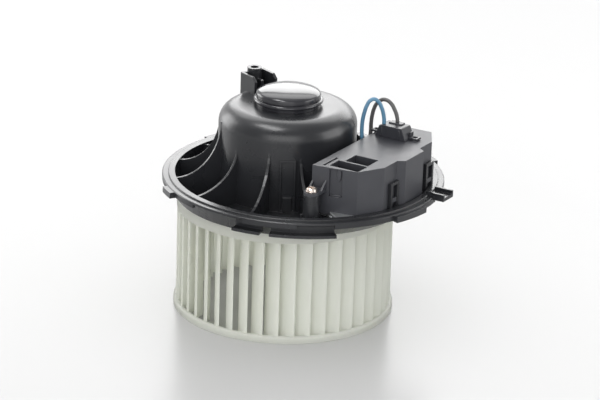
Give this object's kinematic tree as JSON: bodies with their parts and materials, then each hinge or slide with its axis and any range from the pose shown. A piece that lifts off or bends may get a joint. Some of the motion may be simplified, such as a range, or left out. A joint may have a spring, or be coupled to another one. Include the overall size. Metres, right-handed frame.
{
  "type": "car cabin blower motor",
  "caption": "Car heater blower: round eccentric flange with a motor dome, bladed fan wheel below, speed controller and plugged leads on top.",
  "frame": {"origin": "on the fan axis, in the plane of the lip ring round the air inlet", "axes": "+Z along the fan axis, from the inlet to the motor; the speed controller lies towards +X and -Y"},
  "size_m": [0.1982, 0.1934, 0.1605],
  "materials": {
    "black_moulding": "moulded, glossy",
    "cap_moulding": "moulded, high gloss",
    "natural_moulding": "moulded, natural translucent",
    "spring_steel": "rolled",
    "ground_steel": "ground",
    "lamination_steel": "punched stack",
    "copper": "drawn copper",
    "nylon": "moulded",
    "plated_steel": "zinc plated, deep drawn",
    "ferrite": "sintered",
    "bronze": "sintered",
    "laminate": "pressed laminate",
    "brass": "stamped",
    "carbon": "pressed carbon",
    "rubber": "moulded",
    "zinc_steel": "zinc plated",
    "cover_moulding": "moulded, satin",
    "cast_aluminium": "cast, bare",
    "board": "laminate with solder mask",
    "package": "moulded",
    "capacitor_sleeve": "shrunk sleeve",
    "plug_moulding": "moulded",
    "blue_insulation": "extruded",
    "grey_insulation": "extruded"
  },
  "bodies": {
    "housing": {"flange_housing": "black_moulding", "dome_cap": "cap_moulding", "motor_can": "plated_steel", "magnets": "ferrite", "motor_end_plate": "plated_steel", "upper_bearing": "bronze", "lower_bearing": "bronze", "bearing_clips": "spring_steel", "brush_card": "laminate", "brush_boxes": "brass", "brush_spring_left": "spring_steel", "brush_spring_right": "spring_steel", "suppressor_chokes": "ferrite", "damper_rings": "rubber", "motor_retainer": "black_moulding", "motor_screws": "zinc_steel", "module_cover": "cover_moulding", "heat_sink": "cast_aluminium", "circuit_board": "board", "power_transistors": "package", "buffer_capacitor": "capacitor_sleeve", "socket_pins": "brass", "header_pins": "brass", "module_screws": "zinc_steel", "lead_plug": "plug_moulding", "lead_grommet": "rubber", "blue_lead": "blue_insulation", "grey_lead": "grey_insulation"},
    "rotor": {"fan_wheel": "natural_moulding", "fan_nut": "spring_steel", "motor_shaft": "ground_steel", "armature_core": "lamination_steel", "armature_windings": "copper", "commutator": "copper", "thrust_washers": "nylon"},
    "left_brush": {"brush_left": "carbon"},
    "right_brush": {"brush_right": "carbon"}
  },
  "joints": [
    {"name": "fan_spin", "type": "hinge", "parent": "housing", "child": "rotor", "pos_m": [0, 0, 0], "axis": [0, 0, 1], "continuous": true},
    {"name": "left_brush_slide", "type": "slide", "parent": "housing", "child": "left_brush", "axis": [-1, 0, 0], "range_m": [0, 0.003], "stiffness_N_per_m": 150, "springref_m": -0.004, "deforming": ["brush_spring_left"]},
    {"name": "right_brush_slide", "type": "slide", "parent": "housing", "child": "right_brush", "axis": [1, 0, 0], "range_m": [0, 0.003], "stiffness_N_per_m": 150, "springref_m": -0.004, "deforming": ["brush_spring_right"]}
  ]
}
